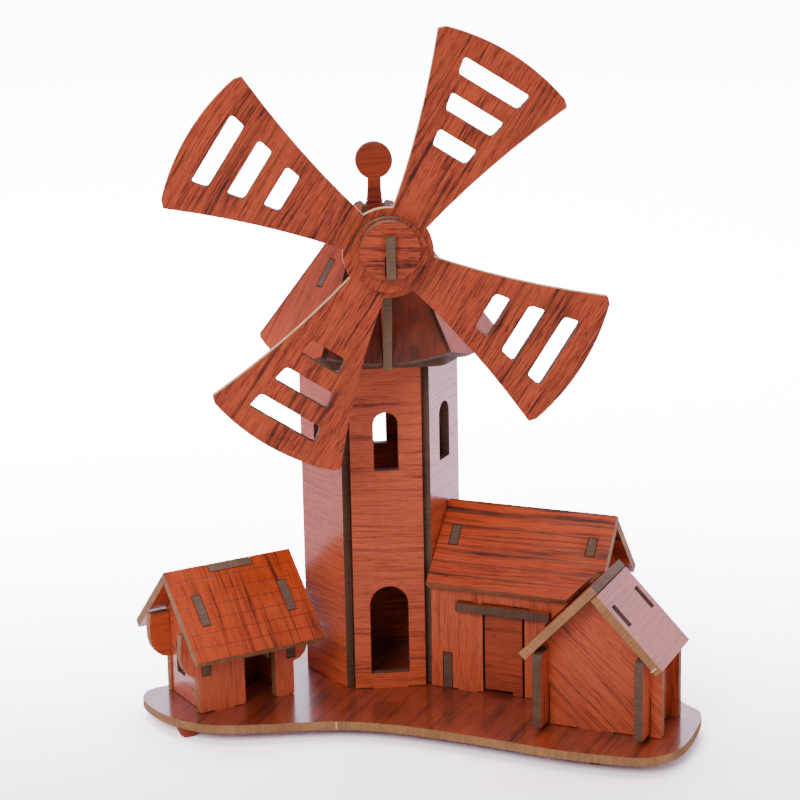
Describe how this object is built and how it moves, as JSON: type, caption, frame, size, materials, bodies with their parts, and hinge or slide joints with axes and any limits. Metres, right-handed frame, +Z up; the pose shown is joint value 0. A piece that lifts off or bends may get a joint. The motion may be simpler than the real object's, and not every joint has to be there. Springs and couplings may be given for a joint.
{
  "type": "wooden 3d jigsaw model",
  "caption": "Slot-together wooden windmill farm model: six-sided tower with a petal cap and a turning sail wheel, cottage, barn with pivoting door, and shed on a rounded base board.",
  "frame": {"origin": "centre of the bounding box, on the table under the feet", "axes": "+Z up, the sail wheel faces -Y, +X to the right of a viewer in front"},
  "size_m": [0.188, 0.136, 0.238],
  "materials": {
    "barn_back_wall": "printed rosewood-grain face with a light gloss, laser-cut edges",
    "barn_door": "printed rosewood-grain face with a light gloss, laser-cut edges",
    "barn_front_wall": "printed rosewood-grain face with a light gloss, laser-cut edges",
    "barn_gable_left": "printed rosewood-grain face with a light gloss, laser-cut edges",
    "barn_gable_right": "printed rosewood-grain face with a light gloss, laser-cut edges",
    "barn_rail": "printed rosewood-grain face with a light gloss, laser-cut edges",
    "barn_roof_back": "printed rosewood-grain face with a light gloss, laser-cut edges",
    "barn_roof_front": "printed rosewood-grain face with a light gloss, laser-cut edges",
    "base_plate": "printed rosewood-grain face with a light gloss, laser-cut edges",
    "cap_floor": "printed rosewood-grain face with a light gloss, laser-cut edges",
    "cap_petal_back": "printed rosewood-grain face with a light gloss, laser-cut edges",
    "cap_petal_back_left": "printed rosewood-grain face with a light gloss, laser-cut edges",
    "cap_petal_back_right": "printed rosewood-grain face with a light gloss, laser-cut edges",
    "cap_petal_front": "printed rosewood-grain face with a light gloss, laser-cut edges",
    "cap_petal_front_left": "printed rosewood-grain face with a light gloss, laser-cut edges",
    "cap_petal_front_right": "printed rosewood-grain face with a light gloss, laser-cut edges",
    "cap_rib_back_left": "printed rosewood-grain face with a light gloss, laser-cut edges",
    "cap_rib_back_right": "printed rosewood-grain face with a light gloss, laser-cut edges",
    "cap_rib_front_left": "printed rosewood-grain face with a light gloss, laser-cut edges",
    "cap_rib_front_right": "printed rosewood-grain face with a light gloss, laser-cut edges",
    "centre_plate": "printed rosewood-grain face with a light gloss, laser-cut edges",
    "cottage_back_wall": "printed rosewood-grain face with a light gloss, laser-cut edges",
    "cottage_front_wall": "printed rosewood-grain face with a light gloss, laser-cut edges",
    "cottage_gable_left": "printed rosewood-grain face with a light gloss, laser-cut edges",
    "cottage_gable_right": "printed rosewood-grain face with a light gloss, laser-cut edges",
    "cottage_roof_back": "printed rosewood-grain face with a light gloss, laser-cut edges",
    "cottage_roof_front": "printed rosewood-grain face with a light gloss, laser-cut edges",
    "finial": "printed rosewood-grain face with a light gloss, laser-cut edges",
    "foot_back_left": "printed rosewood-grain face with a light gloss, laser-cut edges",
    "foot_back_right": "printed rosewood-grain face with a light gloss, laser-cut edges",
    "foot_front_left": "printed rosewood-grain face with a light gloss, laser-cut edges",
    "foot_front_right": "printed rosewood-grain face with a light gloss, laser-cut edges",
    "hub_cap_disc": "printed rosewood-grain face with a light gloss, laser-cut edges",
    "hub_rear_disc": "printed rosewood-grain face with a light gloss, laser-cut edges",
    "hub_ring_disc": "printed rosewood-grain face with a light gloss, laser-cut edges",
    "sail_wheel": "printed rosewood-grain face with a light gloss, laser-cut edges",
    "shed_gable_back": "printed rosewood-grain face with a light gloss, laser-cut edges",
    "shed_gable_front": "printed rosewood-grain face with a light gloss, laser-cut edges",
    "shed_roof_left": "printed rosewood-grain face with a light gloss, laser-cut edges",
    "shed_roof_right": "printed rosewood-grain face with a light gloss, laser-cut edges",
    "shed_side_left": "printed rosewood-grain face with a light gloss, laser-cut edges",
    "shed_side_right": "printed rosewood-grain face with a light gloss, laser-cut edges",
    "tower_panel_back": "printed rosewood-grain face with a light gloss, laser-cut edges",
    "tower_panel_back_left": "printed rosewood-grain face with a light gloss, laser-cut edges",
    "tower_panel_back_right": "printed rosewood-grain face with a light gloss, laser-cut edges",
    "tower_panel_front": "printed rosewood-grain face with a light gloss, laser-cut edges",
    "tower_panel_front_left": "printed rosewood-grain face with a light gloss, laser-cut edges",
    "tower_panel_front_right": "printed rosewood-grain face with a light gloss, laser-cut edges"
  },
  "bodies": {
    "model": {"barn_back_wall": "barn_back_wall", "barn_front_wall": "barn_front_wall", "barn_gable_left": "barn_gable_left", "barn_gable_right": "barn_gable_right", "barn_rail": "barn_rail", "barn_roof_back": "barn_roof_back", "barn_roof_front": "barn_roof_front", "base_plate": "base_plate", "cap_floor": "cap_floor", "cap_petal_back": "cap_petal_back", "cap_petal_back_left": "cap_petal_back_left", "cap_petal_back_right": "cap_petal_back_right", "cap_petal_front": "cap_petal_front", "cap_petal_front_left": "cap_petal_front_left", "cap_petal_front_right": "cap_petal_front_right", "cap_rib_back_left": "cap_rib_back_left", "cap_rib_back_right": "cap_rib_back_right", "cap_rib_front_left": "cap_rib_front_left", "cap_rib_front_right": "cap_rib_front_right", "centre_plate": "centre_plate", "cottage_back_wall": "cottage_back_wall", "cottage_front_wall": "cottage_front_wall", "cottage_gable_left": "cottage_gable_left", "cottage_gable_right": "cottage_gable_right", "cottage_roof_back": "cottage_roof_back", "cottage_roof_front": "cottage_roof_front", "finial": "finial", "foot_back_left": "foot_back_left", "foot_back_right": "foot_back_right", "foot_front_left": "foot_front_left", "foot_front_right": "foot_front_right", "hub_cap_disc": "hub_cap_disc", "hub_rear_disc": "hub_rear_disc", "hub_ring_disc": "hub_ring_disc", "shed_gable_back": "shed_gable_back", "shed_gable_front": "shed_gable_front", "shed_roof_left": "shed_roof_left", "shed_roof_right": "shed_roof_right", "shed_side_left": "shed_side_left", "shed_side_right": "shed_side_right", "tower_panel_back": "tower_panel_back", "tower_panel_back_left": "tower_panel_back_left", "tower_panel_back_right": "tower_panel_back_right", "tower_panel_front": "tower_panel_front", "tower_panel_front_left": "tower_panel_front_left", "tower_panel_front_right": "tower_panel_front_right"},
    "sails": {"sail_wheel": "sail_wheel"},
    "door": {"barn_door": "barn_door"}
  },
  "joints": [
    {"name": "sail_spin", "type": "hinge", "parent": "model", "child": "sails", "pos_m": [-0.00696, -0.02185, 0.166], "axis": [0, 1, 0], "continuous": true},
    {"name": "barn_door_swing", "type": "hinge", "parent": "model", "child": "door", "pos_m": [0.03624, -0.00898, 0.022], "axis": [0, 0, 1], "range_deg": [0, 110]}
  ]
}
